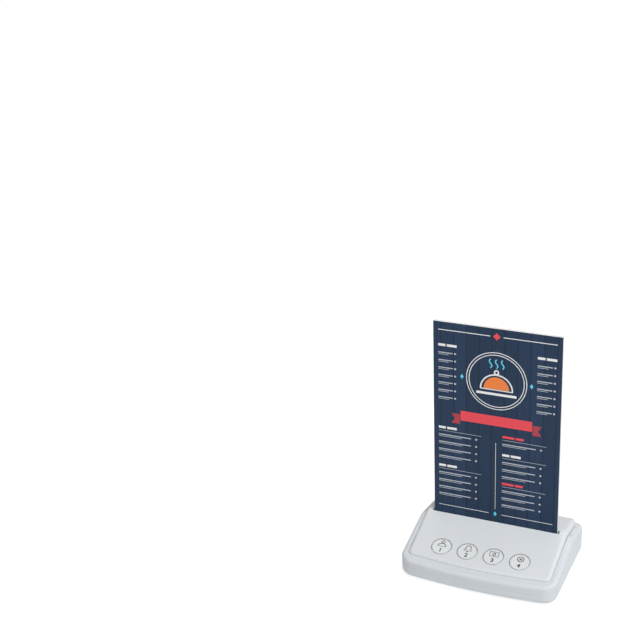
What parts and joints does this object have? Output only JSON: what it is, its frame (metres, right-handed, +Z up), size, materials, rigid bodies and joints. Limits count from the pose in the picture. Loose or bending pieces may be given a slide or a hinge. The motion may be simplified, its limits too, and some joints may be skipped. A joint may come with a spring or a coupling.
{
  "type": "table call button with menu board",
  "caption": "Table call button: a sloping white plastic base with round keys in a row, an upright printed menu board in a slot, and a battery door underneath.",
  "frame": {"origin": "on the table, under the middle of the base's outline", "axes": "+X to the right as seen by the guest, +Y away from the guest to the back, +Z up along the menu board"},
  "size_m": [0.1186, 0.089, 0.1901],
  "materials": {
    "housing_white": "fine matt moulded ABS",
    "key_white": "satin moulded ABS with a printed ring",
    "rubber_grey": "matt",
    "switch_black": "satin",
    "circuit_green": "glass-fibre board with solder mask",
    "steel": "nickel plated",
    "chip_black": "matt",
    "capacitor_sleeve": "shrink sleeve on a can",
    "copper_wire": "bare copper",
    "cell_can": null,
    "lead_red": "soft PVC",
    "lead_black": "soft PVC",
    "board_white": "foamed PVC sheet",
    "print_navy": "coated print"
  },
  "bodies": {
    "base": {"bottom_tray": "housing_white", "main_housing": "housing_white", "top_cover": "housing_white", "foot_front_left": "rubber_grey", "foot_front_right": "rubber_grey", "foot_rear_left": "rubber_grey", "foot_rear_right": "rubber_grey", "switch_body_1": "switch_black", "switch_body_2": "switch_black", "switch_body_3": "switch_black", "switch_body_4": "switch_black", "circuit_board": "circuit_green", "board_screws": "steel", "case_screws": "steel", "contact_spring_1": "steel", "contact_spring_2": "steel", "contact_link": "steel", "contact_positive": "steel", "contact_negative": "steel", "crystal_can": "steel", "encoder_chip": "chip_black", "board_capacitor": "capacitor_sleeve", "spring_antenna": "copper_wire", "battery_cell_1": "cell_can", "battery_cell_2": "cell_can", "battery_lead_red": "lead_red", "battery_lead_black": "lead_black"},
    "battery_door": {"battery_door": "housing_white"},
    "menu_board": {"menu_print_front": "print_navy", "menu_board_core": "board_white", "menu_print_back": "print_navy"},
    "key_1": {"key_cap_1": "key_white", "switch_plunger_1": "switch_black"},
    "key_2": {"key_cap_2": "key_white", "switch_plunger_2": "switch_black"},
    "key_3": {"key_cap_3": "key_white", "switch_plunger_3": "switch_black"},
    "key_4": {"key_cap_4": "key_white", "switch_plunger_4": "switch_black"}
  },
  "joints": [
    {"name": "key_1_press", "type": "slide", "parent": "base", "child": "key_1", "axis": [0, 0.299, -0.9542], "range_m": [0, 0.00035], "stiffness_N_per_m": 3000},
    {"name": "key_2_press", "type": "slide", "parent": "base", "child": "key_2", "axis": [0, 0.299, -0.9542], "range_m": [0, 0.00035], "stiffness_N_per_m": 3000},
    {"name": "key_3_press", "type": "slide", "parent": "base", "child": "key_3", "axis": [0, 0.299, -0.9542], "range_m": [0, 0.00035], "stiffness_N_per_m": 3000},
    {"name": "key_4_press", "type": "slide", "parent": "base", "child": "key_4", "axis": [0, 0.299, -0.9542], "range_m": [0, 0.00035], "stiffness_N_per_m": 3000},
    {"name": "menu_board_lift", "type": "slide", "parent": "base", "child": "menu_board", "axis": [0, 0, 1], "range_m": [0, 0.025]},
    {"name": "battery_door_slide", "type": "slide", "parent": "base", "child": "battery_door", "axis": [0, 1, 0], "range_m": [0, 0.045]}
  ]
}
